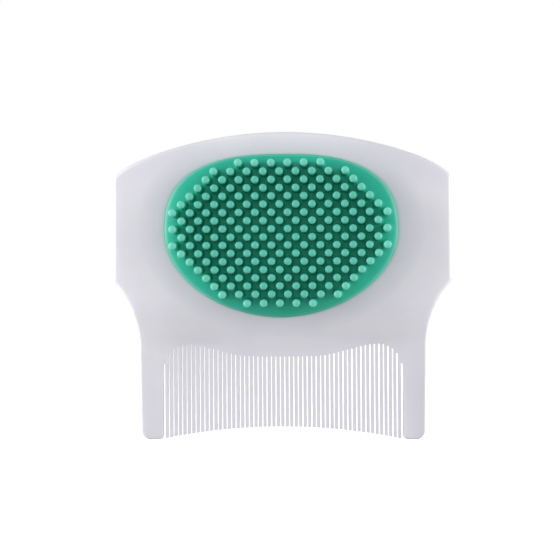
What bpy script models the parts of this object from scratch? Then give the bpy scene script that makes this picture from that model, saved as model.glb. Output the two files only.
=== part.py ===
"""Palm-held flea comb with a soft massage pad.

A white moulded body carries the comb: two stout guards with fine teeth between them.
An oval pad of soft rubber nubs stands in a window through the body.  The pad is domed
and its nubs all end level, so the outer ones are longer.  The pad's flange lies in a
rebate behind the window, and a snap-in back cover holds it there.

The comb stands on its guards: X runs across it, the pad faces -Y, the back is +Y, and
Z runs from the guard tips up to the palm edge.  Sizes are in millimetres until a mesh
is written.  A height is measured forward from the flat back.
"""

import math

import bpy
import bmesh
from mathutils import Matrix, Vector
from mathutils.geometry import delaunay_2d_cdt

MM = 0.001

# --- whole comb ---
HALF_WIDTH = 45.0
TOP_Z = 81.5
FIT_GAP = 0.3

# --- palm part ---
TOP_RADIUS = 104.0
SHOULDER_DROP = 1.76
SHOULDER_POWER = 11
SIDE_FLARE = 0.15
PALM_CORNER_RADIUS = 2.0
WAIST_RADIUS = 26.0
WAIST_Z = 24.5
CROWN_HEIGHT = 6.2
SIDE_FALL = 2.0
TOP_FALL = 1.0
EDGE_CHAMFER_WIDTH = 1.3
EDGE_CHAMFER_DEPTH = 0.8

# --- guards and teeth ---
GUARD_OUTER_TOP_X = 38.15
GUARD_OUTER_TIP_X = 37.75
GUARD_INNER_TOP_X = 31.8
GUARD_INNER_TIP_X = 31.85
GUARD_THICKNESS = 3.2
GUARD_THICK_X = 37.0
GUARD_TIP_OUTER_RADIUS = 2.5
GUARD_TIP_INNER_RADIUS = 1.2
THICK_FROM_Z = 25.0
THICK_TO_Z = 38.0
TOOTH_COUNT = 53
TOOTH_PITCH = 1.192
GAP_AT_ROOT = 0.22
GAP_AT_TIP = 0.25
TIP_ARC_RADIUS = 158.0
TIP_ARC_Z = 3.3
ROOT_Z = 22.0
ROOT_RISE = 2.1
ROOT_BOW = 0.002
ROOT_RISE_FROM_X = 9.5
ROOT_RISE_TO_X = 24.5
ROOT_CORNER_X = 25.2
ROOT_CORNER_RADIUS = 6.5
TOOTH_ROOT_RELIEF = 0.9
RELIEF_FROM_Z = 24.5
RELIEF_TO_Z = 29.0
TOOTH_TIP_RELIEF = 0.2

# --- massage pad ---
PAD_HALF_WIDTH = 30.8
PAD_CENTRE_Z = 55.05
PAD_UPPER_HALF = 20.45
PAD_LOWER_HALF = 22.5
PAD_UPPER_POWER = 2.6
PAD_LOWER_POWER = 1.9
PAD_EDGE_STEP = 0.15
PAD_RIM_RISE = 0.9
PAD_RIM_POWER = 18
PAD_RIM_WIDTH = 0.7
PAD_CROWN_RISE = 0.5
FLANGE_WIDTH = 1.8
FLANGE_BACK = 1.9
FLANGE_FRONT = 3.1
HOLLOW_MARGIN = 2.5
HOLLOW_HEIGHT = 4.3

# --- nubs on the pad ---
NUB_SPACING = 3.0
NUB_ROWS = (6, 9, 10, 11, 12, 13, 14, 13, 14, 13, 14, 13, 12, 11, 10, 9, 8, 5)
NUB_TOP_ROW_Z = 72.7
NUB_LENGTH = 4.0
NUB_LEAN = 0.42
NUB_EDGE_LEAN = 0.07
NUB_BASE_RADIUS = 1.2
NUB_TIP_RADIUS = 0.95
NUB_SIDES = 6

# --- back cover ---
COVER_THICKNESS = 1.6
COVER_MARGIN = 3.3
PLINTH_TOP = 4.0
PLINTH_WALL = 1.5
RIB_THICKNESS = 1.4
RIB_SPACING = 10.0
RIB_COUNT = 5
SNAP_COUNT = 6
SNAP_LENGTH = 6.0
SNAP_REACH = 0.7
SNAP_BACK = 0.9
SNAP_FRONT = 1.5

# --- depth of the whole comb, and where its flat back lies ---
PAD_RISE = PAD_EDGE_STEP + PAD_RIM_RISE + PAD_CROWN_RISE
TOTAL_DEPTH = CROWN_HEIGHT + PAD_RISE + NUB_LENGTH
BACK_Y = TOTAL_DEPTH / 2

# --- how finely the curves are cut ---
TOP_STEPS = 24
OVAL_STEPS = 64
ARC_STEPS = 6
GAP_ROOT_STEPS = 3
GRID_STEP = 6.0
GRID_BOTTOM_Z = 28.0
LONGEST_EDGE = 5.0

# --- colours, linear ---
WHITE = (0.79, 0.79, 0.83)
GREEN = (0.045, 0.46, 0.33)


def smoothstep(low, high, value):
    t = min(max((value - low) / (high - low), 0.0), 1.0)
    return t * t * (3 - 2 * t)


# ---------------------------------------------------------------- outlines

def pad_radius(x, z):
    """1 on the pad's outline, 0 at its centre."""
    upper = z > PAD_CENTRE_Z
    half = PAD_UPPER_HALF if upper else PAD_LOWER_HALF
    power = PAD_UPPER_POWER if upper else PAD_LOWER_POWER
    across = abs(x / PAD_HALF_WIDTH) ** power
    along = abs((z - PAD_CENTRE_Z) / half) ** power
    return (across + along) ** (1 / power)


def oval(margin):
    """The pad's outline, moved outwards by margin."""
    points = []
    for step in range(OVAL_STEPS):
        angle = math.tau * step / OVAL_STEPS
        upper = math.sin(angle) > 0
        half = PAD_UPPER_HALF if upper else PAD_LOWER_HALF
        power = PAD_UPPER_POWER if upper else PAD_LOWER_POWER
        cos, sin = math.cos(angle), math.sin(angle)
        x = PAD_HALF_WIDTH * math.copysign(abs(cos) ** (2 / power), cos)
        z = PAD_CENTRE_Z + half * math.copysign(abs(sin) ** (2 / power), sin)
        points.append(Vector((x, z)))
    return offset(points, margin)


def offset(loop, distance):
    """A closed anticlockwise loop moved outwards along its own normals."""
    moved = []
    for index, point in enumerate(loop):
        along = loop[(index + 1) % len(loop)] - loop[index - 1]
        normal = Vector((along.y, -along.x)).normalized()
        moved.append(point + normal * distance)
    return moved


def rounded(before, corner, after, radius):
    """An arc of the radius that rounds the corner between two straight edges."""
    inward = (before - corner).normalized()
    outward = (after - corner).normalized()
    half = inward.angle(outward) / 2
    reach = radius / math.tan(half)
    centre = corner + (inward + outward).normalized() * (radius / math.sin(half))
    start = corner + inward * reach - centre
    end = corner + outward * reach - centre
    turn = start.angle_signed(end)
    spin = [-turn * step / ARC_STEPS for step in range(ARC_STEPS + 1)]
    return [centre + Matrix.Rotation(angle, 2) @ start for angle in spin]


def divided(path, longest):
    """The same path, with points added along its long straight stretches."""
    points = [path[0]]
    for start, end in zip(path, path[1:]):
        pieces = math.ceil((end - start).length / longest)
        points += [start.lerp(end, i / pieces) for i in range(1, pieces + 1)]
    return points


def top_edge_z(x):
    bow = x * x / (2 * TOP_RADIUS)
    return TOP_Z - bow - SHOULDER_DROP * (x / HALF_WIDTH) ** SHOULDER_POWER


def outer_side():
    """The right-hand outline from the top centre to the foot of the guard's inner edge."""
    step = HALF_WIDTH / (TOP_STEPS // 2)
    top = [Vector((step * i, top_edge_z(step * i))) for i in range(TOP_STEPS // 2)]
    shoulder = Vector((HALF_WIDTH, top_edge_z(HALF_WIDTH)))
    waist_reach = HALF_WIDTH + SIDE_FLARE - GUARD_OUTER_TOP_X
    waist_turn = math.acos(1 - waist_reach / WAIST_RADIUS)
    waist = []
    for i in range(ARC_STEPS + 1):
        angle = waist_turn * (1 - i / ARC_STEPS)
        x = GUARD_OUTER_TOP_X + WAIST_RADIUS * (1 - math.cos(angle))
        waist.append(Vector((x, WAIST_Z + WAIST_RADIUS * math.sin(angle))))
    side_foot, guard_top = waist[0], waist[-1]
    outer_tip = Vector((GUARD_OUTER_TIP_X, 0))
    inner_tip = Vector((GUARD_INNER_TIP_X, 0))
    points = top
    points += rounded(top[-1], shoulder, side_foot, PALM_CORNER_RADIUS)
    points += rounded(shoulder, side_foot, waist[1], PALM_CORNER_RADIUS)
    points += waist[1:]
    points += rounded(guard_top, outer_tip, inner_tip, GUARD_TIP_OUTER_RADIUS)
    inner_top = Vector((GUARD_INNER_TOP_X, gap_root_z(GUARD_INNER_TOP_X)))
    points += rounded(outer_tip, inner_tip, inner_top, GUARD_TIP_INNER_RADIUS)
    return divided(points, LONGEST_EDGE)


def silhouette():
    """The outer outline, anticlockwise, with a straight line between the guards."""
    right = outer_side()
    return [Vector((-p.x, p.y)) for p in right] + right[:0:-1]


def gap_root_z(x):
    """The wavy line that the gaps between the teeth run up to."""
    x = abs(x)
    rise = ROOT_RISE * smoothstep(ROOT_RISE_FROM_X, ROOT_RISE_TO_X, x)
    into_corner = min(max(x - ROOT_CORNER_X, 0.0), ROOT_CORNER_RADIUS)
    drop = ROOT_CORNER_RADIUS - math.sqrt(ROOT_CORNER_RADIUS ** 2 - into_corner ** 2)
    return ROOT_Z + ROOT_BOW * min(x, ROOT_CORNER_X) ** 2 + rise - drop


def tooth_tip_z(x):
    return TIP_ARC_Z - TIP_ARC_RADIUS + math.sqrt(TIP_ARC_RADIUS ** 2 - x * x)


def gap_outline(index):
    """One gap from its left-hand foot, over its round root, to its right-hand foot."""
    centre = (index - TOOTH_COUNT / 2) * TOOTH_PITCH
    root = gap_root_z(centre)
    feet = []
    for x in (centre - GAP_AT_TIP / 2, centre + GAP_AT_TIP / 2):
        feet.append(Vector((x, tooth_tip_z(x))))
    crown = []
    for step in range(GAP_ROOT_STEPS + 1):
        angle = math.pi * (1 - step / GAP_ROOT_STEPS)
        x = centre + GAP_AT_ROOT / 2 * math.cos(angle)
        crown.append(Vector((x, root - GAP_AT_ROOT / 2 * (1 - math.sin(angle)))))
    if index == 0:
        return [Vector((-GUARD_INNER_TOP_X, crown[0].y))] + crown[1:] + feet[1:]
    if index == TOOTH_COUNT:
        return feet[:1] + crown[:-1] + [Vector((GUARD_INNER_TOP_X, crown[-1].y))]
    return feet[:1] + crown + feet[1:]


def comb_outline():
    """The whole outline, teeth included, anticlockwise from the top centre."""
    right = outer_side()
    points = [Vector((-p.x, p.y)) for p in right]
    for index in range(TOOTH_COUNT + 1):
        points += gap_outline(index)
    return points + right[:0:-1]


# ---------------------------------------------------------------- heights

def palm_height(x, z):
    fall = SIDE_FALL * abs(x / HALF_WIDTH) ** 3
    rise_z = max(z - PAD_CENTRE_Z, 0.0) / (TOP_Z - PAD_CENTRE_Z)
    return CROWN_HEIGHT - fall - TOP_FALL * rise_z ** 2


def tooth_relief(x, z):
    """How far the teeth lie inside the guards' faces, front and back."""
    between_guards = 1 - smoothstep(GUARD_INNER_TOP_X, GUARD_THICK_X, abs(x))
    root = TOOTH_ROOT_RELIEF * (1 - smoothstep(RELIEF_FROM_Z, RELIEF_TO_Z, z))
    along = min(max((ROOT_Z - z) / (ROOT_Z - TIP_ARC_Z), 0.0), 1.0)
    return between_guards * (root + TOOTH_TIP_RELIEF * along)


def surface_height(x, z):
    """The body's front, without its rounded edge."""
    thick = smoothstep(THICK_FROM_Z, THICK_TO_Z, z)
    base = GUARD_THICKNESS + (palm_height(x, z) - GUARD_THICKNESS) * thick
    return base - tooth_relief(x, z)


def pad_height(x, z):
    """The pad's domed front, between the nubs."""
    radius = min(pad_radius(x, z), 1.0)
    rim = PAD_RIM_RISE * (1 - radius ** PAD_RIM_POWER)
    crown = PAD_CROWN_RISE * (1 - radius ** 2)
    return surface_height(x, z) + PAD_EDGE_STEP + rim + crown


# ---------------------------------------------------------------- solids

class Shell:
    """The faces of one closed shell; corners in the same place are one vertex."""

    def __init__(self):
        self.corners = {}
        self.faces = []

    def corner(self, x, height, z):
        place = (round(x, 4), round(BACK_Y - height, 4), round(z, 4))
        return self.corners.setdefault(place, len(self.corners))

    def ring(self, loop, height):
        """The vertices of a loop; the height is a number or a function of x and z."""
        heights = [height(*p) if callable(height) else height for p in loop]
        return [self.corner(p.x, h, p.y) for p, h in zip(loop, heights)]

    def bridge(self, first, second):
        for i in range(len(first)):
            j = (i + 1) % len(first)
            face = [first[i], first[j], second[j], second[i]]
            if len(set(face)) > 2:
                self.faces.append(list(dict.fromkeys(face)))

    def bridge_all(self, steps):
        """Walls and ledges between neighbouring (loop, height) steps."""
        rings = [self.ring(loop, height) for loop, height in steps]
        for first, second in zip(rings, rings[1:]):
            self.bridge(first, second)

    def sheet(self, outline, holes, points, height):
        """A triangulated face from the outline to the holes, through loose points."""
        loops = [outline] + holes
        places = [point for loop in loops for point in loop] + points
        rims = []
        start = 0
        for loop in loops:
            rims.append(list(range(start, start + len(loop))))
            start += len(loop)
        result = delaunay_2d_cdt(places, [], rims, 1, 1e-6)
        found, triangles, sources = result[0], result[2], result[5]
        ids = self.ring(found, height)
        for triangle, inside in zip(triangles, sources):
            if inside == [0]:
                self.faces.append([ids[i] for i in triangle])

    def build(self, name, material):
        mesh = bpy.data.meshes.new(name)
        corners = [Vector(place) * MM for place in self.corners]
        mesh.from_pydata(corners, [], self.faces)
        work = bmesh.new()
        work.from_mesh(mesh)
        bmesh.ops.recalc_face_normals(work, faces=work.faces)
        work.to_mesh(mesh)
        work.free()
        mesh.materials.append(material)
        part = bpy.data.objects.new(name, mesh)
        bpy.context.collection.objects.link(part)
        return part


def plastic(name, colour, roughness):
    material = bpy.data.materials.new(name)
    material.use_nodes = True
    shader = material.node_tree.nodes["Principled BSDF"]
    shader.inputs["Base Color"].default_value = (*colour, 1)
    shader.inputs["Roughness"].default_value = roughness
    shader.inputs["Metallic"].default_value = 0
    return material


def box(name, centre, size, turn=0.0):
    """A block with its centre in x, height and z, turned in the plane of the comb."""
    mesh = bpy.data.meshes.new(name)
    work = bmesh.new()
    place = Matrix.Translation(Vector((centre[0], BACK_Y - centre[1], centre[2])) * MM)
    spin = Matrix.Rotation(-turn, 4, "Y")
    stretch = Matrix.Diagonal((*(side * MM for side in size), 1))
    bmesh.ops.create_cube(work, size=1, matrix=place @ spin @ stretch)
    work.to_mesh(mesh)
    work.free()
    block = bpy.data.objects.new(name, mesh)
    bpy.context.collection.objects.link(block)
    block.hide_render = True
    block.display_type = "WIRE"
    return block


def combine(part, tools, operation):
    for tool in tools:
        step = part.modifiers.new(f"{operation.lower()}_{tool.name}", "BOOLEAN")
        step.operation = operation
        step.object = tool
        step.solver = "EXACT"


# ---------------------------------------------------------------- the three pieces

def snap_blocks(name, grow):
    """Blocks round the cover's edge: its snap lugs, or with grow the pockets for them."""
    edge = oval(COVER_MARGIN - FIT_GAP)
    blocks = []
    for index in range(SNAP_COUNT):
        at = round(OVAL_STEPS * (index + 0.5) / SNAP_COUNT) % OVAL_STEPS
        along = edge[(at + 1) % OVAL_STEPS] - edge[at - 1]
        outwards = Vector((along.y, -along.x)).normalized()
        depth = 2 * SNAP_REACH + grow
        centre = edge[at] + outwards * (SNAP_REACH + grow - depth / 2)
        height = (SNAP_BACK + SNAP_FRONT) / 2
        size = (depth, SNAP_FRONT - SNAP_BACK + 2 * grow, SNAP_LENGTH + 2 * grow)
        turn = math.atan2(outwards.y, outwards.x)
        blocks.append(box(f"{name}_{index}", (centre.x, height, centre.y), size, turn))
    return blocks


def clearance(point, loop):
    """The distance from a point to a loop, negative outside it."""
    nearest = math.inf
    inside = False
    for index, end in enumerate(loop):
        start = loop[index - 1]
        edge = end - start
        share = min(max((point - start).dot(edge) / edge.length_squared, 0.0), 1.0)
        nearest = min(nearest, (point - start - edge * share).length)
        if (start.y > point.y) != (end.y > point.y):
            cut = start.x + edge.x * (point.y - start.y) / edge.y
            if point.x < cut:
                inside = not inside
    return nearest if inside else -nearest


def palm_grid(outer, hole):
    """Loose points that let the body's front follow its crown."""
    columns = int(HALF_WIDTH / GRID_STEP)
    rows = int((TOP_Z - GRID_BOTTOM_Z) / GRID_STEP) + 1
    points = []
    for column in range(-columns, columns + 1):
        for row in range(rows):
            point = Vector((column * GRID_STEP, GRID_BOTTOM_Z + row * GRID_STEP))
            if clearance(point, outer) > GRID_STEP / 2 and clearance(point, hole) < -1:
                points.append(point)
    return points


def make_comb_body(material):
    window = oval(FIT_GAP)
    rebate = oval(FIT_GAP + FLANGE_WIDTH)
    recess = oval(COVER_MARGIN)
    outline = comb_outline()
    outer = silhouette()
    edge = {(round(p.x, 3), round(p.y, 3)) for p in outer}
    inset = offset(outer, -EDGE_CHAMFER_WIDTH)
    chamfer = [p for p in inset if clearance(p, outer) > EDGE_CHAMFER_WIDTH * 0.9]

    def front(x, z):
        on_edge = (round(x, 3), round(z, 3)) in edge
        return surface_height(x, z) - (EDGE_CHAMFER_DEPTH if on_edge else 0)

    shell = Shell()
    shell.sheet(outline, [window], palm_grid(outer, window) + chamfer, front)
    shell.sheet(outline, [recess], palm_grid(outer, recess), tooth_relief)
    shell.bridge(shell.ring(outline, front), shell.ring(outline, tooth_relief))
    ledge = FLANGE_FRONT + FIT_GAP
    steps = ((recess, tooth_relief), (recess, FLANGE_BACK), (rebate, FLANGE_BACK),
             (rebate, ledge), (window, ledge), (window, front))
    shell.bridge_all(steps)
    body = shell.build("comb_body", material)
    combine(body, snap_blocks("snap_pocket", FIT_GAP), "DIFFERENCE")
    return body


def nub_places():
    """The foot of each nub: centred rows, every second one shifted by half a step."""
    row_step = NUB_SPACING / math.sqrt(2)
    places = []
    for row, count in enumerate(NUB_ROWS):
        for index in range(count):
            x = (2 * index - count + 1) * row_step
            places.append(Vector((x, NUB_TOP_ROW_Z - row * row_step)))
    return places


def nub_lean(place):
    """How far a nub's tip leans outwards; the nubs nearest the sides splay the most."""
    x, z = place
    reach = 0.1
    slope_x = (pad_height(x + reach, z) - pad_height(x - reach, z)) / (2 * reach)
    slope_z = (pad_height(x, z + reach) - pad_height(x, z - reach)) / (2 * reach)
    near_rim = smoothstep(0.78, 0.92, pad_radius(x, z))
    splay = Vector((NUB_EDGE_LEAN * near_rim * x / PAD_HALF_WIDTH, 0))
    return (Vector((slope_x, slope_z)) * -NUB_LEAN + splay) * NUB_LENGTH


def circle(centre, radius, sides):
    angles = [math.tau * (i + 0.5) / sides for i in range(sides)]
    return [centre + Vector((math.cos(a), math.sin(a))) * radius for a in angles]


def make_massage_pad(material):
    edge = oval(0)
    flange = oval(FLANGE_WIDTH)
    hollow = oval(-HOLLOW_MARGIN)
    rim = oval(-PAD_RIM_WIDTH)
    feet = [circle(place, NUB_BASE_RADIUS, NUB_SIDES) for place in nub_places()]

    shell = Shell()
    shell.sheet(rim, feet, [], pad_height)
    steps = ((rim, pad_height), (edge, pad_height), (edge, FLANGE_FRONT),
             (flange, FLANGE_FRONT), (flange, FLANGE_BACK), (hollow, FLANGE_BACK),
             (hollow, HOLLOW_HEIGHT))
    shell.bridge_all(steps)
    shell.faces.append(shell.ring(hollow, HOLLOW_HEIGHT))
    for place, foot in zip(nub_places(), feet):
        end = circle(place + nub_lean(place), NUB_TIP_RADIUS, NUB_SIDES)
        tip = shell.ring(end, TOTAL_DEPTH)
        shell.bridge(shell.ring(foot, pad_height), tip)
        shell.faces.append(tip)
    return shell.build("massage_pad", material)


def rib_blocks(wall):
    """Upright ribs that run across the inside of the plinth, into its wall."""
    blocks = []
    for index in range(RIB_COUNT):
        x = (index - (RIB_COUNT - 1) / 2) * RIB_SPACING
        crossings = []
        for end, start in zip(wall, wall[1:] + wall[:1]):
            if (start.x > x) != (end.x > x):
                share = (x - start.x) / (end.x - start.x)
                crossings.append(start.y + share * (end.y - start.y))
        low, high = min(crossings), max(crossings)
        bottom = COVER_THICKNESS / 2
        top = PLINTH_TOP - FIT_GAP
        centre = (x, (bottom + top) / 2, (low + high) / 2)
        size = (RIB_THICKNESS, top - bottom, high - low)
        blocks.append(box(f"rib_{index}", centre, size))
    return blocks


def make_back_cover(material):
    plate = oval(COVER_MARGIN - FIT_GAP)
    plinth = oval(-HOLLOW_MARGIN - FIT_GAP)
    wall_middle = oval(-HOLLOW_MARGIN - FIT_GAP - PLINTH_WALL / 2)
    well = oval(-HOLLOW_MARGIN - FIT_GAP - PLINTH_WALL)
    shell = Shell()
    shell.faces.append(shell.ring(plate, 0))
    steps = ((plate, 0), (plate, COVER_THICKNESS), (plinth, COVER_THICKNESS),
             (plinth, PLINTH_TOP), (well, PLINTH_TOP), (well, COVER_THICKNESS))
    shell.bridge_all(steps)
    shell.faces.append(shell.ring(well, COVER_THICKNESS))
    cover = shell.build("back_cover", material)
    combine(cover, rib_blocks(wall_middle), "UNION")
    combine(cover, snap_blocks("snap_lug", 0), "UNION")
    return cover


def main():
    for old in list(bpy.data.objects):
        bpy.data.objects.remove(old, do_unlink=True)
    white = plastic("white_plastic", WHITE, 0.38)
    green = plastic("green_rubber", GREEN, 0.5)
    comb = bpy.data.objects.new("flea_comb", None)
    bpy.context.collection.objects.link(comb)
    pieces = (make_comb_body(white), make_massage_pad(green), make_back_cover(white))
    for piece in pieces:
        piece.parent = comb


main()
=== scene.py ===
import math

import bmesh
import bpy
from mathutils import Matrix, Vector
from mathutils.geometry import delaunay_2d_cdt


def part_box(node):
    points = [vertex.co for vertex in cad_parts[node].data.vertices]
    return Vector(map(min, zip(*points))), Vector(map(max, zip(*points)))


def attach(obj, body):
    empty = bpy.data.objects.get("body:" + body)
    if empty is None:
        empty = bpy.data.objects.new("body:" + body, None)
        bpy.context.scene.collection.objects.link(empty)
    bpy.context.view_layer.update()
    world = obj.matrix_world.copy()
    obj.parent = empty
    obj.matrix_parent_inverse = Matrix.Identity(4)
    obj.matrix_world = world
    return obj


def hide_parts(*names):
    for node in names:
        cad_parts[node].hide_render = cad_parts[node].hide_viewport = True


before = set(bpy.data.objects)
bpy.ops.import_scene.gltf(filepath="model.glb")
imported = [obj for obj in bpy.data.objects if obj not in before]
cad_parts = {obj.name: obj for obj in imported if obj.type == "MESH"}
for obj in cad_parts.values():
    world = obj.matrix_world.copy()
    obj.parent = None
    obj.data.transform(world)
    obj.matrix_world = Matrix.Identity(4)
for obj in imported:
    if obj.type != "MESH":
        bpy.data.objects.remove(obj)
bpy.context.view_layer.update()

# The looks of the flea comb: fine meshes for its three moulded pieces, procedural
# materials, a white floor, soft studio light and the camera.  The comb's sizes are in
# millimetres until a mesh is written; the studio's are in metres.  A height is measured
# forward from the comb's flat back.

MM = 0.001
BODY_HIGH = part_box("comb_body")[1]
PAD_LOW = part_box("massage_pad")[0]
SIDE_FLARE = 0.15
HALF_WIDTH = round(BODY_HIGH[0] / MM - SIDE_FLARE, 2)
TOP_Z = round(BODY_HIGH[2] / MM, 2)
BACK_Y = round(BODY_HIGH[1] / MM, 3)
TOTAL_DEPTH = round((BODY_HIGH[1] - PAD_LOW[1]) / MM, 3)

# --- palm part ---
TOP_RADIUS = 104.0
SHOULDER_DROP = 1.76
SHOULDER_POWER = 11
PALM_CORNER_RADIUS = 2.0
WAIST_RADIUS = 26.0
WAIST_Z = 24.5
CROWN_HEIGHT = 6.2
SIDE_FALL = 2.0
TOP_FALL = 1.0
PALM_ROUNDING = 1.2
PALM_ROUNDING_Z = 42.0
BACK_ROUNDING_SHARE = 0.45
WINDOW_MARGIN = 0.05
WINDOW_ROUNDING = 0.12

# --- guards and teeth ---
GUARD_OUTER_TOP_X = 38.15
GUARD_OUTER_TIP_X = 37.75
GUARD_INNER_TOP_X = 31.8
GUARD_INNER_TIP_X = 31.85
GUARD_THICKNESS = 3.2
GUARD_THICK_X = 37.0
GUARD_TIP_OUTER_RADIUS = 2.5
GUARD_TIP_INNER_RADIUS = 1.2
GUARD_ROUNDING = 0.6
GUARD_EDGE_FROM_X = 31.75
GUARD_EDGE_TO_X = 31.95
GUARD_EDGE_SHARP_Z = 19.0
GUARD_EDGE_ROUND_Z = 10.0
TEETH_BELOW_Z = 27.0
THICK_FROM_Z = 25.0
THICK_TO_Z = 38.0
TOOTH_COUNT = 53
TOOTH_PITCH = 1.192
TOOTH_ROUNDING = 0.04
TOOTH_TIP_CORNER = 0.2
GAP_AT_ROOT = 0.22
GAP_AT_TIP = 0.25
TIP_ARC_RADIUS = 158.0
TIP_ARC_Z = 3.3
ROOT_Z = 22.0
ROOT_RISE = 2.1
ROOT_BOW = 0.002
ROOT_RISE_FROM_X = 9.5
ROOT_RISE_TO_X = 24.5
ROOT_CORNER_X = 25.2
ROOT_CORNER_RADIUS = 6.5
TOOTH_ROOT_RELIEF = 0.9
TOOTH_TIP_RELIEF = 0.2
RELIEF_FROM_Z = 24.5
RELIEF_TO_Z = 29.0

# --- massage pad ---
PAD_HALF_WIDTH = 30.8
PAD_CENTRE_Z = 55.05
PAD_UPPER_HALF = 20.45
PAD_LOWER_HALF = 22.5
PAD_UPPER_POWER = 2.6
PAD_LOWER_POWER = 1.9
PAD_EDGE_STEP = 0.15
PAD_RIM_RISE = 0.9
PAD_RIM_POWER = 18
PAD_CROWN_RISE = 0.5
PAD_RIM_WIDTH = 0.6
PAD_RIM_MIDDLE = 0.4
PAD_CONTOURS = (1.0, 1.5, 2.1, 2.8, 3.6)
PAD_EDGE_ROUNDING = 0.35
PAD_SQUEEZE = 0.08
FIT_GAP = 0.3
FLANGE_WIDTH = 1.8
FLANGE_BACK = 1.9
FLANGE_FRONT = 3.1
HOLLOW_MARGIN = 2.5
HOLLOW_HEIGHT = 4.3

# --- nubs on the pad ---
NUB_SPACING = 3.0
NUB_ROWS = (6, 9, 10, 11, 12, 13, 14, 13, 14, 13, 14, 13, 12, 11, 10, 9, 8, 5)
NUB_TOP_ROW_Z = 72.7
NUB_LENGTH = 4.0
NUB_FOOT_RADIUS = 1.36
NUB_SHAFT_RADIUS = 1.1
NUB_NECK_RADIUS = 1.0
NUB_FILLET_HEIGHT = 0.35
NUB_DOME_HEIGHT = 0.5
NUB_LEAN = 0.42
NUB_EDGE_LEAN = 0.07
NUB_SPLAY_FROM = 0.78
NUB_SPLAY_TO = 0.92
NUB_CLEARANCE = 0.2
NUB_SIDES = 16
NUB_FILLET_STEPS = 3
NUB_DOME_STEPS = 5

# --- back cover ---
COVER_THICKNESS = 1.6
COVER_MARGIN = 3.3
COVER_ROUNDING = 0.25
PLINTH_TOP = 4.0
PLINTH_WALL = 1.5
RIB_THICKNESS = 1.4
RIB_SPACING = 10.0
RIB_COUNT = 5
SNAP_COUNT = 6
SNAP_LENGTH = 6.0
SNAP_REACH = 0.7
SNAP_BACK = 0.9
SNAP_FRONT = 1.5

# --- how finely the curves are cut ---
HALF_TOP_STEPS = 60
OVAL_STEPS = 192
ARC_STEPS = 10
WAIST_STEPS = 20
GAP_ROOT_STEPS = 6
TOOTH_TIP_STEPS = 4
ROUND_STEPS = 6
BESIDE_ARC = 0.3
LONGEST_EDGE = 1.0
LONGEST_TOOTH_EDGE = 2.0
GRID_STEP = 1.6
GRID_BOTTOM_Z = 26.5
GUARD_GRID_BOTTOM_Z = 3.0
FRONT_GRID_RADIUS = 1.06
BACK_GRID_RADIUS = 1.18
SHARP_ANGLE = 40

# --- colours ---
BODY_WHITE = (0.84, 0.82, 0.87)
BODY_SHADE = (0.80, 0.78, 0.84)
# painted shade on the body beside the pad
PAINTED_SHADE_BESIDE_PAD = (0.66, 0.65, 0.71)
# painted shade on the body at its top corners, right guard and lower part
BODY_PAINTED_SHADE = (0.69, 0.675, 0.735)
# painted reflection of the pad's green on the body at the pad's edge
PAD_GREEN_REFLECTION = (0.22, 0.60, 0.48)
COVER_WHITE = (0.83, 0.81, 0.86)
COVER_SHADE = (0.79, 0.77, 0.83)
RIM_GREENS = (0.024, 0.44, 0.305), (0.032, 0.48, 0.335)
# painted shade between the nubs
SHADED_GREENS = (0.0, 0.36, 0.24), (0.0, 0.41, 0.275)
# painted highlight on the nub tips, paler on the outer nubs
TIP_HIGHLIGHT_GREENS = (0.115, 0.56, 0.43), (0.20, 0.72, 0.57)
PAD_EDGE_GREEN = (0.30, 0.66, 0.54)

# --- where painted shade darkens the body's plastic ---
TOP_CORNERS_X, TOP_CORNERS_Z, TOP_CORNERS_DIM = (14, 24), (66, 76), 0.55
LOWER_PART_X, LOWER_PART_Z, LOWER_PART_DIM = (-33, -27), (38, 24), 0.4
RIGHT_GUARD_X, RIGHT_GUARD_Z, RIGHT_GUARD_DIM = (26, 35), (36, 14), 0.9

# --- studio, in metres, degrees and watts ---
AIM = Vector((-0.47, BACK_Y - 2.5, 42.36)) * MM
CAMERA_YAW = 3.6
CAMERA_RISE = 0.17
CAMERA_ROLL = 0.37
CAMERA_DISTANCE = 0.4
CAMERA_LENS = 96.8
SENSOR_WIDTH = 36.0
CAMERA_CLIP_START = 0.01
WORLD_LIGHT = 0.385
FLOOR_RADIUS = 3.0
FLOOR_SIDES = 96
LIGHT_SIZE = 0.6
LIGHTS = (
    ("left", (-0.90, -0.18, 0.18), 11.5),
    ("right", (0.90, -0.18, 0.12), 9.8),
    ("front", (-0.10, -0.90, 0.45), 1.5),
    ("back", (0.30, 0.90, 0.15), 5.0))


def smoothstep(low, high, value):
    t = min(max((value - low) / (high - low), 0.0), 1.0)
    return t * t * (3 - 2 * t)


# ---------------------------------------------------------------- outlines

def pad_shape(upper):
    """The half height and the power of the pad's upper or lower half."""
    if upper:
        return PAD_UPPER_HALF, PAD_UPPER_POWER
    return PAD_LOWER_HALF, PAD_LOWER_POWER


def pad_radius(x, z):
    """1 on the pad's outline, 0 at its centre."""
    half, power = pad_shape(z > PAD_CENTRE_Z)
    across = abs(x / PAD_HALF_WIDTH) ** power
    along = abs((z - PAD_CENTRE_Z) / half) ** power
    return (across + along) ** (1 / power)


def offset(loop, distances):
    """A closed anticlockwise loop moved outwards along its own normals."""
    if not isinstance(distances, list):
        distances = [distances] * len(loop)
    moved = []
    for index, point in enumerate(loop):
        along = loop[(index + 1) % len(loop)] - loop[index - 1]
        normal = Vector((along.y, -along.x)).normalized()
        moved.append(point + normal * distances[index])
    return moved


def oval(margin):
    """The pad's outline, moved outwards by margin."""
    points = []
    for step in range(OVAL_STEPS):
        angle = math.tau * step / OVAL_STEPS
        cos, sin = math.cos(angle), math.sin(angle)
        half, power = pad_shape(sin > 0)
        x = PAD_HALF_WIDTH * math.copysign(abs(cos) ** (2 / power), cos)
        z = PAD_CENTRE_Z + half * math.copysign(abs(sin) ** (2 / power), sin)
        points.append(Vector((x, z)))
    return offset(points, margin)


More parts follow.
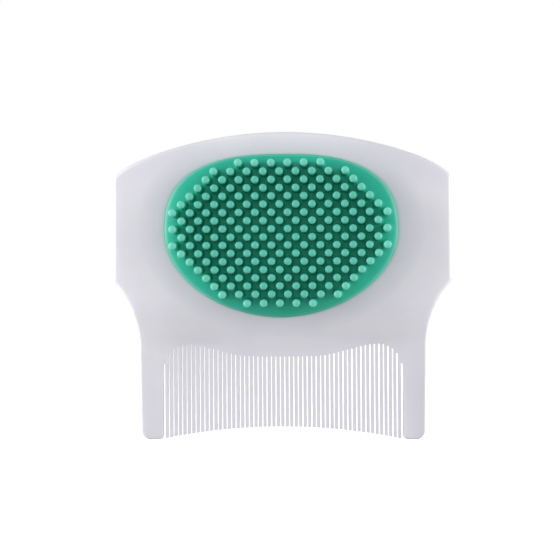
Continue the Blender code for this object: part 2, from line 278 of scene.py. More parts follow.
def rounded(before, corner, after, radius, steps=ARC_STEPS):
    """An arc of the radius that rounds the corner between two straight edges."""
    inward = (before - corner).normalized()
    outward = (after - corner).normalized()
    half = inward.angle(outward) / 2
    reach = radius / math.tan(half)
    centre = corner + (inward + outward).normalized() * (radius / math.sin(half))
    start = corner + inward * reach - centre
    end = corner + outward * reach - centre
    turn = start.angle_signed(end)
    spin = [-turn * step / steps for step in range(steps + 1)]
    return [centre + Matrix.Rotation(angle, 2) @ start for angle in spin]


def divided(path, longest):
    """The same path, with points added along its long straight stretches."""
    points = [path[0]]
    for start, end in zip(path, path[1:]):
        pieces = math.ceil((end - start).length / longest)
        points += [start.lerp(end, i / pieces) for i in range(1, pieces + 1)]
    return points


def top_edge_z(x):
    bow = x * x / (2 * TOP_RADIUS)
    return TOP_Z - bow - SHOULDER_DROP * (x / HALF_WIDTH) ** SHOULDER_POWER


def gap_root_z(x):
    """The wavy line that the gaps between the teeth run up to."""
    x = abs(x)
    rise = ROOT_RISE * smoothstep(ROOT_RISE_FROM_X, ROOT_RISE_TO_X, x)
    into_corner = min(max(x - ROOT_CORNER_X, 0.0), ROOT_CORNER_RADIUS)
    drop = ROOT_CORNER_RADIUS - math.sqrt(ROOT_CORNER_RADIUS ** 2 - into_corner ** 2)
    return ROOT_Z + ROOT_BOW * min(x, ROOT_CORNER_X) ** 2 + rise - drop


def tooth_tip_z(x):
    return TIP_ARC_Z - TIP_ARC_RADIUS + math.sqrt(TIP_ARC_RADIUS ** 2 - x * x)


def outer_side():
    """The right-hand outline from the top centre to the foot of the guard's inner edge."""
    step = HALF_WIDTH / HALF_TOP_STEPS
    top = [Vector((step * i, top_edge_z(step * i))) for i in range(HALF_TOP_STEPS)]
    shoulder = Vector((HALF_WIDTH, top_edge_z(HALF_WIDTH)))
    waist_reach = HALF_WIDTH + SIDE_FLARE - GUARD_OUTER_TOP_X
    waist_turn = math.acos(1 - waist_reach / WAIST_RADIUS)
    waist = []
    for i in range(WAIST_STEPS + 1):
        angle = waist_turn * (1 - i / WAIST_STEPS)
        x = GUARD_OUTER_TOP_X + WAIST_RADIUS * (1 - math.cos(angle))
        waist.append(Vector((x, WAIST_Z + WAIST_RADIUS * math.sin(angle))))
    side_foot, guard_top = waist[0], waist[-1]
    outer_tip = Vector((GUARD_OUTER_TIP_X, 0))
    inner_tip = Vector((GUARD_INNER_TIP_X, 0))
    shoulder_arc = rounded(top[-3], shoulder, side_foot, PALM_CORNER_RADIUS)
    points = [p for p in top if p.x < shoulder_arc[0].x - BESIDE_ARC]
    points += shoulder_arc
    side_arc = rounded(shoulder, side_foot, waist[2], PALM_CORNER_RADIUS)
    points += side_arc
    points += [p for p in waist if p.y < side_arc[-1].y - BESIDE_ARC]
    points += rounded(guard_top, outer_tip, inner_tip, GUARD_TIP_OUTER_RADIUS)
    inner_top = Vector((GUARD_INNER_TOP_X, gap_root_z(GUARD_INNER_TOP_X)))
    points += rounded(outer_tip, inner_tip, inner_top, GUARD_TIP_INNER_RADIUS)
    return divided(points, LONGEST_EDGE)


def silhouette():
    """The outer outline, anticlockwise, with a straight line between the guards."""
    right = outer_side()
    return [Vector((-p.x, p.y)) for p in right] + right[:0:-1]


def gap_outline(index):
    """One gap from its left-hand tooth tip, over its round root, to the next tip."""
    centre = (index - TOOTH_COUNT / 2) * TOOTH_PITCH
    root = gap_root_z(centre)
    crown = []
    for step in range(GAP_ROOT_STEPS + 1):
        angle = math.pi * (1 - step / GAP_ROOT_STEPS)
        x = centre + GAP_AT_ROOT / 2 * math.cos(angle)
        crown.append(Vector((x, root - GAP_AT_ROOT / 2 * (1 - math.sin(angle)))))
    sides = []
    for side, top in ((-1, crown[0]), (1, crown[-1])):
        foot_x = centre + side * GAP_AT_TIP / 2
        foot = Vector((foot_x, tooth_tip_z(foot_x)))
        tip_middle = Vector((centre + side * TOOTH_PITCH / 2, foot.y))
        tip = rounded(tip_middle, foot, top, TOOTH_TIP_CORNER, TOOTH_TIP_STEPS)
        sides.append(divided(tip + [top], LONGEST_TOOTH_EDGE))
    rising = sides[0][:-1]
    falling = sides[1][-2::-1]
    if index == 0:
        rising = [Vector((-GUARD_INNER_TOP_X, crown[0].y))]
        crown = crown[1:]
    if index == TOOTH_COUNT:
        falling = [Vector((GUARD_INNER_TOP_X, crown[-1].y))]
        crown = crown[:-1]
    return rising + crown + falling


def comb_outline():
    """The whole outline, teeth included, anticlockwise from the top centre."""
    right = outer_side()
    points = [Vector((-p.x, p.y)) for p in right]
    for index in range(TOOTH_COUNT + 1):
        points += gap_outline(index)
    points += right[:0:-1]
    return divided(points + points[:1], LONGEST_TOOTH_EDGE)[:-1]


# ---------------------------------------------------------------- heights

def palm_height(x, z):
    fall = SIDE_FALL * abs(x / HALF_WIDTH) ** 3
    rise_z = max(z - PAD_CENTRE_Z, 0.0) / (TOP_Z - PAD_CENTRE_Z)
    return CROWN_HEIGHT - fall - TOP_FALL * rise_z ** 2


def tooth_relief(x, z):
    """How far the teeth lie inside the guards' faces, front and back."""
    between_guards = 1 - smoothstep(GUARD_INNER_TOP_X, GUARD_THICK_X, abs(x))
    root = TOOTH_ROOT_RELIEF * (1 - smoothstep(RELIEF_FROM_Z, RELIEF_TO_Z, z))
    along = min(max((ROOT_Z - z) / (ROOT_Z - TIP_ARC_Z), 0.0), 1.0)
    return between_guards * (root + TOOTH_TIP_RELIEF * along)


def surface_height(x, z):
    """The body's front, without its rounded edge."""
    thick = smoothstep(THICK_FROM_Z, THICK_TO_Z, z)
    base = GUARD_THICKNESS + (palm_height(x, z) - GUARD_THICKNESS) * thick
    return base - tooth_relief(x, z)


def pad_height(x, z):
    """The pad's domed front, between the nubs."""
    radius = min(pad_radius(x, z), 1.0)
    rim = PAD_RIM_RISE * (1 - radius ** PAD_RIM_POWER)
    crown = PAD_CROWN_RISE * (1 - radius ** 2)
    return surface_height(x, z) + PAD_EDGE_STEP + rim + crown


def slope(height, x, z, reach=0.1):
    """How steeply a height function rises along x and along z."""
    along_x = (height(x + reach, z) - height(x - reach, z)) / (2 * reach)
    along_z = (height(x, z + reach) - height(x, z - reach)) / (2 * reach)
    return Vector((along_x, along_z))


# ---------------------------------------------------------------- mesh building

class Shell:
    """The faces of one closed shell; corners in the same place are one vertex."""

    def __init__(self):
        self.corners = {}
        self.faces = []

    def corner(self, x, height, z):
        place = (round(x, 4), round(BACK_Y - height, 4), round(z, 4))
        return self.corners.setdefault(place, len(self.corners))

    def ring(self, loop, height):
        """The vertices of a loop; height is a number, a list, or a function of x and z."""
        if callable(height):
            heights = [height(*p) for p in loop]
        else:
            heights = height if isinstance(height, list) else [height] * len(loop)
        return [self.corner(p.x, h, p.y) for p, h in zip(loop, heights)]

    def bridge(self, first, second):
        for i in range(len(first)):
            j = (i + 1) % len(first)
            face = [first[i], first[j], second[j], second[i]]
            if len(set(face)) > 2:
                self.faces.append(list(dict.fromkeys(face)))

    def bridge_all(self, rings):
        for first, second in zip(rings, rings[1:]):
            self.bridge(first, second)

    def sheet(self, outline, holes, points, height):
        """A triangulated face from the outline to the holes, through loose points."""
        loops = [outline] + holes
        places = [point for loop in loops for point in loop] + points
        rims = []
        start = 0
        for loop in loops:
            rims.append(list(range(start, start + len(loop))))
            start += len(loop)
        result = delaunay_2d_cdt(places, [], rims, 1, 1e-6)
        found, triangles, sources = result[0], result[2], result[5]
        ids = self.ring(found, height)
        for triangle, inside in zip(triangles, sources):
            if inside == [0]:
                self.faces.append([ids[i] for i in triangle])

    def build(self, name):
        mesh = bpy.data.meshes.new(name)
        corners = [Vector(place) * MM for place in self.corners]
        mesh.from_pydata(corners, [], self.faces)
        work = bmesh.new()
        work.from_mesh(mesh)
        bmesh.ops.recalc_face_normals(work, faces=work.faces)
        work.to_mesh(mesh)
        work.free()
        piece = bpy.data.objects.new(name, mesh)
        bpy.context.collection.objects.link(piece)
        return piece


def quarter_turns():
    """Angles from a side wall, 0, up to the face that its edge is rounded into."""
    return [math.pi / 2 * step / ROUND_STEPS for step in range(ROUND_STEPS + 1)]


def rounded_edge(shell, loop, radii, height, into, sign):
    """Rings that round an edge: into is -1 where material lies inside the loop, and
    sign is 1 for an edge below its face's height and -1 for one above it."""
    rings = []
    for angle in quarter_turns():
        inset = [into * radius * (1 - math.cos(angle)) for radius in radii]
        moved = offset(loop, inset)
        drops = [radius * (1 - math.sin(angle)) for radius in radii]
        heights = [height(*p) - sign * drop for p, drop in zip(moved, drops)]
        rings.append(shell.ring(moved, heights))
    return rings, moved


def clearance(point, loop):
    """The distance from a point to a loop, negative outside it."""
    nearest = math.inf
    inside = False
    for index, end in enumerate(loop):
        start = loop[index - 1]
        edge = end - start
        share = min(max((point - start).dot(edge) / edge.length_squared, 0.0), 1.0)
        nearest = min(nearest, (point - start - edge * share).length)
        if (start.y > point.y) != (end.y > point.y):
            cut = start.x + edge.x * (point.y - start.y) / edge.y
            if point.x < cut:
                inside = not inside
    return nearest if inside else -nearest


def box(name, centre, size, turn=0.0):
    """A block with its centre in x, height and z, turned in the plane of the comb."""
    mesh = bpy.data.meshes.new(name)
    work = bmesh.new()
    place = Matrix.Translation(Vector((centre[0], BACK_Y - centre[1], centre[2])) * MM)
    spin = Matrix.Rotation(-turn, 4, "Y")
    stretch = Matrix.Diagonal((*(side * MM for side in size), 1))
    bmesh.ops.create_cube(work, size=1, matrix=place @ spin @ stretch)
    work.to_mesh(mesh)
    work.free()
    block = bpy.data.objects.new(name, mesh)
    bpy.context.collection.objects.link(block)
    return block


def combine(piece, tools, operation):
    """Applies Booleans with the tools and removes them."""
    for tool in tools:
        step = piece.modifiers.new(tool.name, "BOOLEAN")
        step.operation = operation
        step.object = tool
        step.solver = "EXACT"
    graph = bpy.context.evaluated_depsgraph_get()
    mesh = bpy.data.meshes.new_from_object(piece.evaluated_get(graph))
    piece.modifiers.clear()
    piece.data = mesh
    for tool in tools:
        bpy.data.objects.remove(tool, do_unlink=True)


# ---------------------------------------------------------------- comb body

def edge_rounding(point):
    """The radius that the body's front edge is rounded to at a point of its outline."""
    x, z = abs(point.x), point.y
    if z < TEETH_BELOW_Z and x < GUARD_EDGE_FROM_X:
        return TOOTH_ROUNDING
    if z < TEETH_BELOW_Z and x < GUARD_EDGE_TO_X:
        down = smoothstep(GUARD_EDGE_SHARP_Z, GUARD_EDGE_ROUND_Z, z)
        return TOOTH_ROUNDING + (GUARD_ROUNDING - TOOTH_ROUNDING) * down
    palm = smoothstep(ROOT_Z, PALM_ROUNDING_Z, z)
    return GUARD_ROUNDING + (PALM_ROUNDING - GUARD_ROUNDING) * palm


def body_grid(outer):
    """Loose points that let the body's faces follow their curves."""
    points = []
    columns = int(HALF_WIDTH / GRID_STEP)
    rows = int((TOP_Z - GRID_BOTTOM_Z) / GRID_STEP) + 1
    for column in range(-columns, columns + 1):
        for row in range(rows):
            point = Vector((column * GRID_STEP, GRID_BOTTOM_Z + row * GRID_STEP))
            if clearance(point, outer) > PALM_ROUNDING + GRID_STEP / 2:
                points.append(point)
    guard_middle = (GUARD_INNER_TOP_X + GUARD_OUTER_TOP_X) / 2
    for row in range(int((GRID_BOTTOM_Z - GUARD_GRID_BOTTOM_Z) / GRID_STEP)):
        z = GRID_BOTTOM_Z - (row + 1) * GRID_STEP
        points += [Vector((-guard_middle, z)), Vector((guard_middle, z))]
    return points


def make_comb_body():
    outline = comb_outline()
    grid = body_grid(silhouette())
    front_radii = [edge_rounding(p) for p in outline]
    back_radii = [radius * BACK_ROUNDING_SHARE for radius in front_radii]
    window = oval(WINDOW_MARGIN)
    rebate = oval(FIT_GAP + FLANGE_WIDTH)
    recess = oval(COVER_MARGIN)
    window_radii = [WINDOW_ROUNDING] * OVAL_STEPS
    recess_radii = [COVER_ROUNDING] * OVAL_STEPS

    shell = Shell()
    front, front_face = rounded_edge(shell, outline, front_radii, surface_height, -1, 1)
    back, back_face = rounded_edge(shell, outline, back_radii, tooth_relief, -1, -1)
    mouth, mouth_face = rounded_edge(shell, window, window_radii, surface_height, 1, 1)
    lip, lip_face = rounded_edge(shell, recess, recess_radii, tooth_relief, 1, -1)
    shell.bridge_all(front[::-1] + back)
    ledge = FLANGE_FRONT + FIT_GAP
    inner_steps = [shell.ring(recess, FLANGE_BACK), shell.ring(rebate, FLANGE_BACK),
                   shell.ring(rebate, ledge), shell.ring(window, ledge)]
    shell.bridge_all(lip[::-1] + inner_steps + mouth)
    front_grid = [p for p in grid if pad_radius(*p) > FRONT_GRID_RADIUS]
    back_grid = [p for p in grid if pad_radius(*p) > BACK_GRID_RADIUS]
    shell.sheet(front_face, [mouth_face], front_grid, surface_height)
    shell.sheet(back_face, [lip_face], back_grid, tooth_relief)
    body = shell.build("comb_body_fine")
    combine(body, snap_blocks("snap_pocket", FIT_GAP), "DIFFERENCE")
    return body


# ---------------------------------------------------------------- massage pad

def nub_places():
    """The foot of each nub: centred rows, every second one shifted by half a step."""
    row_step = NUB_SPACING / math.sqrt(2)
    places = []
    for row, count in enumerate(NUB_ROWS):
        for index in range(count):
            x = (2 * index - count + 1) * row_step
            places.append(Vector((x, NUB_TOP_ROW_Z - row * row_step)))
    return places


def nub_lean(place):
    """How far a nub's tip leans outwards; the nubs nearest the sides splay the most."""
    near_rim = smoothstep(NUB_SPLAY_FROM, NUB_SPLAY_TO, pad_radius(*place))
    splay = Vector((NUB_EDGE_LEAN * near_rim * place.x / PAD_HALF_WIDTH, 0))
    return (slope(pad_height, *place) * -NUB_LEAN + splay) * NUB_LENGTH


def nub_profile(length):
    """Distances along a nub and its radius there: root fillet, shaft, domed tip."""
    profile = []
    for step in range(1, NUB_FILLET_STEPS + 1):
        angle = math.pi / 2 * step / NUB_FILLET_STEPS
        along = NUB_FILLET_HEIGHT * (1 - math.cos(angle))
        spread = NUB_FOOT_RADIUS - NUB_SHAFT_RADIUS
        profile.append((along, NUB_FOOT_RADIUS - spread * math.sin(angle)))
    shoulder = length - NUB_DOME_HEIGHT
    middle = (NUB_FILLET_HEIGHT + shoulder) / 2
    profile.append((middle, (NUB_SHAFT_RADIUS + NUB_NECK_RADIUS) / 2))
    for step in range(NUB_DOME_STEPS):
        angle = math.pi / 2 * step / NUB_DOME_STEPS
        along = shoulder + NUB_DOME_HEIGHT * math.sin(angle)
        profile.append((along, NUB_NECK_RADIUS * math.cos(angle)))
    return profile


def circle(centre, radius):
    angles = [math.tau * (i + 0.5) / NUB_SIDES for i in range(NUB_SIDES)]
    return [centre + Vector((math.cos(a), math.sin(a))) * radius for a in angles]


def add_nub(shell, place, foot):
    """One nub that stands on its foot's ring and ends level with all the others."""
    base = pad_height(*place)
    length = TOTAL_DEPTH - base
    lean = nub_lean(place)
    rings = [shell.ring(foot, pad_height)]
    for along, radius in nub_profile(length):
        settle = 1 - min(along / NUB_FILLET_HEIGHT, 1.0)
        loop = circle(place + lean * (along / length), radius)
        heights = []
        for point in loop:
            on_pad = pad_height(*point) - base
            heights.append(base + along + on_pad * settle)
        rings.append(shell.ring(loop, heights))
    shell.bridge_all(rings)
    top = place + lean
    apex = shell.corner(top.x, TOTAL_DEPTH, top.y)
    last = rings[-1]
    for index, corner in enumerate(last):
        shell.faces.append([last[index - 1], corner, apex])


def clear_of_nubs(point):
    nearest = min((point - place).length for place in nub_places())
    return nearest > NUB_FOOT_RADIUS + NUB_CLEARANCE


def make_massage_pad():
    edge = oval(PAD_SQUEEZE)
    flange = oval(FLANGE_WIDTH)
    hollow = oval(-HOLLOW_MARGIN)
    feet = [circle(place, NUB_FOOT_RADIUS) for place in nub_places()]
    radii = [PAD_EDGE_ROUNDING] * OVAL_STEPS

    shell = Shell()
    rim, _ = rounded_edge(shell, edge, radii, pad_height, -1, 1)
    for margin in (PAD_RIM_MIDDLE, PAD_RIM_WIDTH):
        rim.append(shell.ring(oval(-margin), pad_height))
    under = [shell.ring(hollow, HOLLOW_HEIGHT), shell.ring(hollow, FLANGE_BACK),
             shell.ring(flange, FLANGE_BACK), shell.ring(flange, FLANGE_FRONT),
             shell.ring(edge, FLANGE_FRONT)]
    shell.bridge_all(under + rim)
    shell.faces.append(under[0])
    between = []
    for margin in PAD_CONTOURS:
        between += [p for p in oval(-margin)[::2] if clear_of_nubs(p)]
    shell.sheet(oval(-PAD_RIM_WIDTH), feet, between, pad_height)
    for place, foot in zip(nub_places(), feet):
        add_nub(shell, place, foot)
    return shell.build("massage_pad_fine")


# ---------------------------------------------------------------- back cover

def snap_blocks(name, grow):
    """Blocks round the cover's edge: its snap lugs, or with grow the pockets for them."""
    edge = oval(COVER_MARGIN - FIT_GAP)
    blocks = []
    for index in range(SNAP_COUNT):
        at = round(OVAL_STEPS * (index + 0.5) / SNAP_COUNT) % OVAL_STEPS
        along = edge[(at + 1) % OVAL_STEPS] - edge[at - 1]
        outwards = Vector((along.y, -along.x)).normalized()
        depth = 2 * SNAP_REACH + grow
        centre = edge[at] + outwards * (SNAP_REACH + grow - depth / 2)
        height = (SNAP_BACK + SNAP_FRONT) / 2
        size = (depth, SNAP_FRONT - SNAP_BACK + 2 * grow, SNAP_LENGTH + 2 * grow)
        turn = math.atan2(outwards.y, outwards.x)
        blocks.append(box(f"{name}_{index}", (centre.x, height, centre.y), size, turn))
    return blocks


def rib_blocks(wall):
    """Upright ribs that run across the inside of the plinth, into its wall."""
    blocks = []
    for index in range(RIB_COUNT):
        x = (index - (RIB_COUNT - 1) / 2) * RIB_SPACING
        crossings = []
        for end, start in zip(wall, wall[1:] + wall[:1]):
            if (start.x > x) != (end.x > x):
                share = (x - start.x) / (end.x - start.x)
                crossings.append(start.y + share * (end.y - start.y))
        low, high = min(crossings), max(crossings)
        bottom = COVER_THICKNESS / 2
        top = PLINTH_TOP - FIT_GAP
        centre = (x, (bottom + top) / 2, (low + high) / 2)
        size = (RIB_THICKNESS, top - bottom, high - low)
        blocks.append(box(f"rib_{index}", centre, size))
    return blocks


def make_back_cover():
    plate = oval(COVER_MARGIN - FIT_GAP)
    plinth = oval(-HOLLOW_MARGIN - FIT_GAP)
    wall_middle = oval(-HOLLOW_MARGIN - FIT_GAP - PLINTH_WALL / 2)
    well = oval(-HOLLOW_MARGIN - FIT_GAP - PLINTH_WALL)
    radii = [COVER_ROUNDING] * OVAL_STEPS
    shell = Shell()
    rim, _ = rounded_edge(shell, plate, radii, tooth_relief, -1, -1)
    steps = ((plate, COVER_THICKNESS), (plinth, COVER_THICKNESS), (plinth, PLINTH_TOP),
             (well, PLINTH_TOP), (well, COVER_THICKNESS))
    rings = [shell.ring(loop, height) for loop, height in steps]
    shell.bridge_all(rim[::-1] + rings)
    shell.faces.append(rim[-1])
    shell.faces.append(rings[-1])
    cover = shell.build("back_cover_fine")
    combine(cover, rib_blocks(wall_middle) + snap_blocks("snap_lug", 0), "UNION")
    return cover


# ---------------------------------------------------------------- materials

class Paint:
    """A node material in the making; every node reads the piece's own coordinates."""

    def __init__(self, name):
        self.material = bpy.data.materials.new(name)
        self.material.use_nodes = True
        self.nodes = self.material.node_tree.nodes
        self.links = self.material.node_tree.links
        self.shader = self.nodes["Principled BSDF"]
        self.place = self.nodes.new("ShaderNodeTexCoord").outputs["Object"]

    def link(self, source, target):
        self.links.new(source, target)

    def set(self, **values):
        for name, value in values.items():
            self.shader.inputs[name.replace("_", " ")].default_value = value

    def axes(self):
        """The piece's coordinates in metres, one socket each for x, y and z."""
        split = self.nodes.new("ShaderNodeSeparateXYZ")
        self.link(self.place, split.inputs["Vector"])
        return split.outputs["X"], split.outputs["Y"], split.outputs["Z"]

    def stretched(self, scale):
        """The piece's coordinates in metres, multiplied along x, y and z."""
        mapping = self.nodes.new("ShaderNodeMapping")
        mapping.inputs["Scale"].default_value = scale
        self.link(self.place, mapping.inputs["Vector"])
        return mapping.outputs["Vector"]

    def noise(self, size_mm, detail=2.0, roughness=0.5, place=None):
        """Noise whose blotches are about size_mm across."""
        texture = self.nodes.new("ShaderNodeTexNoise")
        texture.inputs["Scale"].default_value = 1 / (size_mm * MM)
        texture.inputs["Detail"].default_value = detail
        texture.inputs["Roughness"].default_value = roughness
        self.link(place or self.place, texture.inputs["Vector"])
        return texture.outputs["Fac"]

    def ramp(self, value, low, high, to_low=0.0, to_high=1.0):
        """Maps low..high onto to_low..to_high, clamped."""
        node = self.nodes.new("ShaderNodeMapRange")
        node.inputs["From Min"].default_value = low
        node.inputs["From Max"].default_value = high
        node.inputs["To Min"].default_value = to_low
        node.inputs["To Max"].default_value = to_high
        self.link(value, node.inputs["Value"])
        return node.outputs["Result"]

    def math(self, operation, first, second):
        node = self.nodes.new("ShaderNodeMath")
        node.operation = operation
        for socket, value in zip(node.inputs, (first, second)):
            if isinstance(value, float):
                socket.default_value = value
            else:
                self.link(value, socket)
        return node.outputs["Value"]

    def mix(self, factor, first, second):
        """A colour between two others; each is a colour or a socket."""
        node = self.nodes.new("ShaderNodeMix")
        node.data_type = "RGBA"
        self.link(factor, node.inputs["Factor"])
        for name, value in (("A", first), ("B", second)):
            socket = next(s for s in node.inputs if s.name == name and s.type == "RGBA")
            if isinstance(value, tuple):
                socket.default_value = (*value, 1)
            else:
                self.link(value, socket)
        return next(s for s in node.outputs if s.type == "RGBA")

    def bump(self, height, depth_mm, strength, below=None):
        node = self.nodes.new("ShaderNodeBump")
        node.inputs["Distance"].default_value = depth_mm * MM
        node.inputs["Strength"].default_value = strength
        self.link(height, node.inputs["Height"])
        if below is not None:
            self.link(below, node.inputs["Normal"])
        return node.outputs["Normal"]


def pad_radius_nodes(paint):
    """pad_radius as nodes: its upper and lower formulas agree where they meet, and the
    right one of the two is always the larger."""
    x, _, z = paint.axes()
    across = paint.math("ABSOLUTE", x, 0.0)
    across = paint.math("DIVIDE", across, PAD_HALF_WIDTH * MM)
    rise = paint.math("SUBTRACT", z, PAD_CENTRE_Z * MM)
    halves = []
    for sign, upper in ((1, True), (-1, False)):
        half, power = pad_shape(upper)
        along = paint.math("MULTIPLY", rise, sign / (half * MM))
        along = paint.math("MAXIMUM", along, 0.0)
        both = paint.math("ADD", paint.math("POWER", across, power),
                          paint.math("POWER", along, power))
        halves.append(paint.math("POWER", both, 1 / power))
    return paint.math("MAXIMUM", *halves)


def painted_shade_areas(paint):
    """Painted shade on the body's plastic: the top corners, the right guard, and
    weakly the whole lower part but for the left guard."""
    x, _, z = paint.axes()

    def area(side, side_range, z_range, amount):
        low, high = (edge * MM for edge in side_range)
        start, end = (edge * MM for edge in z_range)
        sideways = paint.ramp(side, low, high, 0.0, amount)
        return paint.math("MULTIPLY", sideways, paint.ramp(z, start, end))

    across = paint.math("ABSOLUTE", x, 0.0)
    corners = area(across, TOP_CORNERS_X, TOP_CORNERS_Z, TOP_CORNERS_DIM)
    low = area(x, LOWER_PART_X, LOWER_PART_Z, LOWER_PART_DIM)
    guard = area(x, RIGHT_GUARD_X, RIGHT_GUARD_Z, RIGHT_GUARD_DIM)
    return paint.math("MAXIMUM", corners, paint.math("MAXIMUM", low, guard))


def white_plastic(name, base, shade, shade_beside_pad=None):
    """Milky moulded plastic: soft cloudiness, fine grain, faint handling scratches.
    With a colour for beside the pad, it is the body's: painted shade in that colour
    beside the pad, a painted reflection of the pad's green at the pad's edge, and
    painted shade at the top corners, the right guard and the lower part."""
    paint = Paint(name)
    clouds = paint.ramp(paint.noise(14, 3), 0.35, 0.65)
    flow = paint.ramp(paint.noise(3, 4, place=paint.stretched((1, 1, 0.25))), 0.3, 0.7)
    tone = paint.mix(clouds, base, shade)
    tone = paint.mix(paint.math("MULTIPLY", flow, 0.25), tone, shade)
    hair_place = paint.stretched((0.06, 1, 1))
    scratches = paint.ramp(paint.noise(0.22, 2, place=hair_place), 0.62, 0.72)
    worn = paint.ramp(paint.noise(9, 2), 0.48, 0.62)
    scratches = paint.math("MULTIPLY", scratches, worn)
    gloss = paint.ramp(paint.noise(5, 3), 0.3, 0.7, 0.33, 0.43)
    gloss = paint.math("ADD", gloss, paint.math("MULTIPLY", scratches, 0.12))
    if shade_beside_pad:
        # painted shade at the top corners, the right guard and the lower part
        tone = paint.mix(painted_shade_areas(paint), tone, BODY_PAINTED_SHADE)
        radius = pad_radius_nodes(paint)
        # painted shade on the body beside the pad
        tone = paint.mix(paint.ramp(radius, 1.0, 1.24, 0.9, 0.0), tone, shade_beside_pad)
        # painted reflection of the pad's green on the body at the pad's edge
        glow = paint.ramp(radius, 1.0, 1.03, 0.55, 0.0)
        tone = paint.mix(glow, tone, PAD_GREEN_REFLECTION)
    paint.link(tone, paint.shader.inputs["Base Color"])
    paint.link(gloss, paint.shader.inputs["Roughness"])
    peel = paint.bump(paint.noise(1.1, 2), 0.02, 0.35)
    grain = paint.bump(paint.noise(0.18, 3, 0.6), 0.006, 0.5, peel)
    lines = paint.bump(scratches, -0.004, 0.5, grain)
    paint.link(lines, paint.shader.inputs["Normal"])
    paint.set(IOR=1.49, Subsurface_Weight=0.18, Subsurface_Scale=0.0012,
              Subsurface_Radius=(1.0, 0.95, 0.9), Metallic=0.0)
    return paint.material


def green_rubber():
    """Soft rubber in its own green at the rim, with painted shade between the nubs
    and a painted highlight on the nub tips.
    """
    paint = Paint("green_rubber_fine")
    _, y, _ = paint.axes()
    tip_y = (BACK_Y - TOTAL_DEPTH) * MM
    foot_y = tip_y + NUB_LENGTH * MM
    # the nubs are painted paler from foot to tip: painted shade at the feet, a painted
    # highlight at the tips
    lit_tip_y = tip_y + 0.3 * MM
    height = paint.ramp(y, foot_y, lit_tip_y)
    radius = pad_radius_nodes(paint)
    blotch = paint.ramp(paint.noise(6, 3), 0.3, 0.7)
    rim = paint.mix(blotch, *RIM_GREENS)
    # painted shade: the pad is a darker green between the nubs, inside the nub field
    shaded_green = paint.mix(blotch, *SHADED_GREENS)
    floor = paint.mix(paint.ramp(radius, 0.72, 1.0), shaded_green, rim)
    tips = paint.math("POWER", height, 2.4)
    # the painted highlight on the tips is brighter on the outer nubs
    tip = paint.mix(paint.ramp(radius, 0.75, 0.95), *TIP_HIGHLIGHT_GREENS)
    tone = paint.mix(tips, floor, tip)
    feather = paint.ramp(radius, 0.97, 1.0, 0.0, 0.4)
    tone = paint.mix(feather, tone, PAD_EDGE_GREEN)
    paint.link(tone, paint.shader.inputs["Base Color"])
    gloss = paint.ramp(paint.noise(1.5, 3), 0.3, 0.7, 0.36, 0.5)
    paint.link(gloss, paint.shader.inputs["Roughness"])
    skin = paint.bump(paint.noise(0.5, 2), 0.012, 0.4)
    grain = paint.bump(paint.noise(0.12, 3, 0.6), 0.005, 0.5, skin)
    paint.link(grain, paint.shader.inputs["Normal"])
    paint.set(IOR=1.45, Metallic=0.0, Specular_IOR_Level=0.28)
    return paint.material


# ---------------------------------------------------------------- studio

def make_floor():
    """A wide pale floor that glows a little, as a lit sheet of paper does."""
    mesh = bpy.data.meshes.new("floor")
    work = bmesh.new()
    bmesh.ops.create_circle(work, cap_ends=True, segments=FLOOR_SIDES, radius=FLOOR_RADIUS)
    work.to_mesh(mesh)
    work.free()
    floor = bpy.data.objects.new("floor", mesh)
    bpy.context.collection.objects.link(floor)
    paint = Paint("paper")
    paint.set(Base_Color=(0.86, 0.86, 0.86, 1), Roughness=0.9,
              Emission_Color=(1, 1, 1, 1), Emission_Strength=0.85)
    paint.link(paint.ramp(paint.noise(40, 4), 0.3, 0.7, 0.86, 0.94),
               paint.shader.inputs["Roughness"])
    mesh.materials.append(paint.material)
    floor.visible_diffuse = False


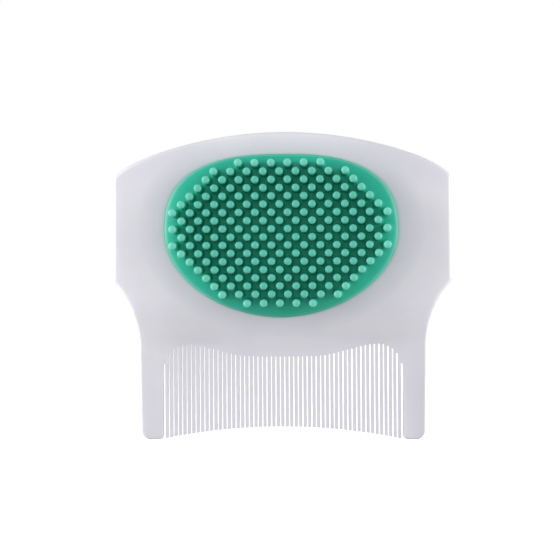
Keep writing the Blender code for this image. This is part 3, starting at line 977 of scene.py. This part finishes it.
def make_world():
    """White where the camera sees past the floor, and a weaker light on the comb."""
    world = bpy.data.worlds.new("studio")
    world.use_nodes = True
    nodes, links = world.node_tree.nodes, world.node_tree.links
    light = nodes["Background"]
    light.inputs["Color"].default_value = (0.97, 0.98, 1, 1)
    light.inputs["Strength"].default_value = WORLD_LIGHT
    seen = nodes.new("ShaderNodeBackground")
    seen.inputs["Color"].default_value = (1, 1, 1, 1)
    mix = nodes.new("ShaderNodeMixShader")
    rays = nodes.new("ShaderNodeLightPath")
    links.new(rays.outputs["Is Camera Ray"], mix.inputs["Fac"])
    links.new(light.outputs["Background"], mix.inputs[1])
    links.new(seen.outputs["Background"], mix.inputs[2])
    links.new(mix.outputs["Shader"], nodes["World Output"].inputs["Surface"])
    bpy.context.scene.world = world


def add_soft_light(name, place, power):
    """A square light that faces the comb."""
    data = bpy.data.lights.new(name, "AREA")
    data.shape = "SQUARE"
    data.size = LIGHT_SIZE
    data.energy = power
    light = bpy.data.objects.new(name, data)
    light.location = place
    light.rotation_euler = (AIM - Vector(place)).to_track_quat("-Z", "Y").to_euler()
    bpy.context.collection.objects.link(light)


def make_camera():
    """A long lens, a little to the right, about level with the comb's middle."""
    yaw, rise, roll = (math.radians(a) for a in (CAMERA_YAW, CAMERA_RISE, CAMERA_ROLL))
    level = Vector((math.sin(yaw), -math.cos(yaw), 0))
    towards = level * math.cos(rise) + Vector((0, 0, math.sin(rise)))
    data = bpy.data.cameras.new("camera")
    data.lens = CAMERA_LENS
    data.sensor_width = SENSOR_WIDTH
    data.clip_start = CAMERA_CLIP_START
    camera = bpy.data.objects.new("camera", data)
    camera.location = AIM + towards * CAMERA_DISTANCE
    look = towards.to_track_quat("Z", "Y")
    camera.rotation_euler = (look.to_matrix() @ Matrix.Rotation(-roll, 3, "Z")).to_euler()
    bpy.context.collection.objects.link(camera)
    bpy.context.scene.camera = camera


# ---------------------------------------------------------------- the scene

body_plastic = white_plastic("white_plastic_fine", BODY_WHITE, BODY_SHADE, PAINTED_SHADE_BESIDE_PAD)
pad_rubber = green_rubber()
cover_plastic = white_plastic("cover_plastic_fine", COVER_WHITE, COVER_SHADE)

for maker, node, slot, material in (
        (make_comb_body, "comb_body", "white_plastic", body_plastic),
        (make_massage_pad, "massage_pad", "green_rubber", pad_rubber),
        (make_back_cover, "back_cover", "cover_plastic", cover_plastic)):
    piece = maker()
    piece.data.materials.clear()
    piece.data.materials.append(material)
    piece.data.shade_smooth()
    piece.data.set_sharp_from_angle(angle=math.radians(SHARP_ANGLE))
    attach(piece, "root")
    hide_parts(node)

make_floor()
make_world()
for name, place, power in LIGHTS:
    add_soft_light(name, place, power)
make_camera()
bpy.context.scene.view_settings.view_transform = "Standard"
bpy.context.scene.view_settings.look = "None"
